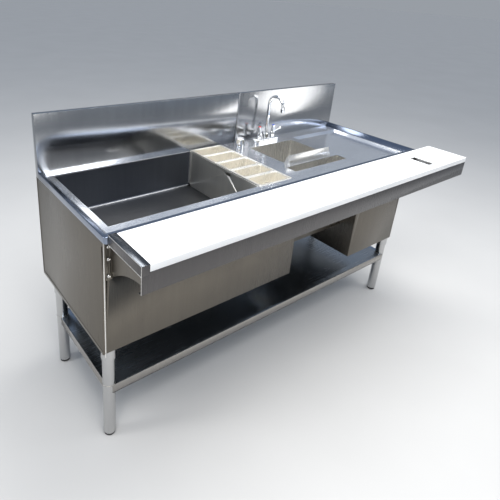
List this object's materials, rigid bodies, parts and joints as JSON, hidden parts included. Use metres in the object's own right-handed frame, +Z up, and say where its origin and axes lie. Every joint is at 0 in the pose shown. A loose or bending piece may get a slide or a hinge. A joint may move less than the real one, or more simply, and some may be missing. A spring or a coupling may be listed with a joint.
{
  "type": "commercial bar sink station",
  "caption": "Stainless sink and prep station: ice basin, condiment pans, hand sink with gooseneck faucet, drainboard, backsplash, front cutting board and undershelf.",
  "frame": {"origin": "middle of the whole station's footprint, on the floor, under its lowest faces", "axes": "+X to the user's right along the deck, +Y from the user towards the wall and the backsplash, +Z up"},
  "size_m": [1.936, 0.833, 1.156],
  "materials": {
    "deck_steel": "satin, brushed along the length",
    "splash_steel": "satin, brushed upright",
    "casing_steel": "satin, brushed upright",
    "basin_steel": "satin",
    "leg_steel": "satin, brushed along the tube",
    "pan_steel": "bright satin",
    "faucet_chrome": "polished",
    "bolt_steel": "bright",
    "drain_brass": "turned, uncoated",
    "board_plastic": "fine matt texture",
    "foot_plastic": "moulded",
    "index_red": "glossy",
    "index_blue": "glossy"
  },
  "bodies": {
    "stand": {"deck_rim": "deck_steel", "deck_floor": "deck_steel", "deck_channels": "deck_steel", "backsplash_left": "splash_steel", "backsplash_right": "splash_steel", "end_panel": "casing_steel", "casing_front": "casing_steel", "casing_wrap": "casing_steel", "casing_bottom": "casing_steel", "right_casing_front": "casing_steel", "right_casing_wrap": "casing_steel", "sink_apron": "casing_steel", "basin_liner": "basin_steel", "divider_channels": "basin_steel", "pan_rail": "deck_steel", "hand_sink_bowl": "basin_steel", "front_well_bowl": "basin_steel", "splash_guard": "deck_steel", "basin_drain": "drain_brass", "sink_drain": "drain_brass", "drain_nuts": "drain_brass", "tailpieces": "faucet_chrome", "tray": "casing_steel", "tray_end_cap": "deck_steel", "tray_end_bracket": "casing_steel", "tray_brackets": "casing_steel", "bracket_bolts": "bolt_steel", "undershelf": "deck_steel", "leg_sockets": "leg_steel", "leg_inserts": "leg_steel", "faucet_base": "faucet_chrome", "valve_bonnets": "faucet_chrome", "spout_nut": "faucet_chrome", "faucet_shanks": "drain_brass", "faucet_locknuts": "drain_brass", "air_gap_cap": "faucet_chrome", "air_gap_body": "drain_brass", "leg_front_left": "leg_steel", "leg_rear_left": "leg_steel", "leg_front_right": "leg_steel", "leg_rear_right": "leg_steel"},
    "divider_panel": {"divider_panel": "basin_steel"},
    "cutting_board": {"cutting_board": "board_plastic"},
    "basin_strainer": {"basin_strainer": "faucet_chrome"},
    "sink_strainer": {"sink_strainer": "faucet_chrome"},
    "pan_1": {"pan_1": "pan_steel"},
    "pan_2": {"pan_2": "pan_steel"},
    "pan_3": {"pan_3": "pan_steel"},
    "pan_4": {"pan_4": "pan_steel"},
    "pan_5": {"pan_5": "pan_steel"},
    "foot_front_left": {"foot_front_left": "foot_plastic"},
    "foot_rear_left": {"foot_rear_left": "foot_plastic"},
    "foot_front_right": {"foot_front_right": "foot_plastic"},
    "foot_rear_right": {"foot_rear_right": "foot_plastic"},
    "spout": {"spout": "faucet_chrome", "aerator": "faucet_chrome"},
    "hot_handle": {"hot_handle": "faucet_chrome", "hot_index": "index_red"},
    "cold_handle": {"cold_handle": "faucet_chrome", "cold_index": "index_blue"}
  },
  "joints": [
    {"name": "pan_1_lift", "type": "slide", "parent": "stand", "child": "pan_1", "axis": [0, 0, 1], "range_m": [0, 0.16]},
    {"name": "pan_2_lift", "type": "slide", "parent": "stand", "child": "pan_2", "axis": [0, 0, 1], "range_m": [0, 0.16]},
    {"name": "pan_3_lift", "type": "slide", "parent": "stand", "child": "pan_3", "axis": [0, 0, 1], "range_m": [0, 0.16]},
    {"name": "pan_4_lift", "type": "slide", "parent": "stand", "child": "pan_4", "axis": [0, 0, 1], "range_m": [0, 0.16]},
    {"name": "pan_5_lift", "type": "slide", "parent": "stand", "child": "pan_5", "axis": [0, 0, 1], "range_m": [0, 0.16]},
    {"name": "divider_panel_lift", "type": "slide", "parent": "stand", "child": "divider_panel", "axis": [0, 0, 1], "range_m": [0, 0.22]},
    {"name": "cutting_board_lift", "type": "slide", "parent": "stand", "child": "cutting_board", "axis": [0, 0, 1], "range_m": [0, 0.1]},
    {"name": "basin_strainer_lift", "type": "slide", "parent": "stand", "child": "basin_strainer", "axis": [0, 0, 1], "range_m": [0, 0.06]},
    {"name": "sink_strainer_lift", "type": "slide", "parent": "stand", "child": "sink_strainer", "axis": [0, 0, 1], "range_m": [0, 0.06]},
    {"name": "foot_front_left_adjust", "type": "slide", "parent": "stand", "child": "foot_front_left", "axis": [0, 0, -1], "range_m": [0, 0.02]},
    {"name": "foot_rear_left_adjust", "type": "slide", "parent": "stand", "child": "foot_rear_left", "axis": [0, 0, -1], "range_m": [0, 0.02]},
    {"name": "foot_front_right_adjust", "type": "slide", "parent": "stand", "child": "foot_front_right", "axis": [0, 0, -1], "range_m": [0, 0.02]},
    {"name": "foot_rear_right_adjust", "type": "slide", "parent": "stand", "child": "foot_rear_right", "axis": [0, 0, -1], "range_m": [0, 0.02]},
    {"name": "spout_swivel", "type": "hinge", "parent": "stand", "child": "spout", "pos_m": [0.248, 0.3365, 0.914], "axis": [0, 0, 1], "range_deg": [-90, 90]},
    {"name": "hot_handle_turn", "type": "hinge", "parent": "stand", "child": "hot_handle", "pos_m": [0.1972, 0.3365, 0.9284], "axis": [0, 0, 1], "range_deg": [-90, 0]},
    {"name": "cold_handle_turn", "type": "hinge", "parent": "stand", "child": "cold_handle", "pos_m": [0.2988, 0.3365, 0.9284], "axis": [0, 0, 1], "range_deg": [-90, 0]}
  ]
}
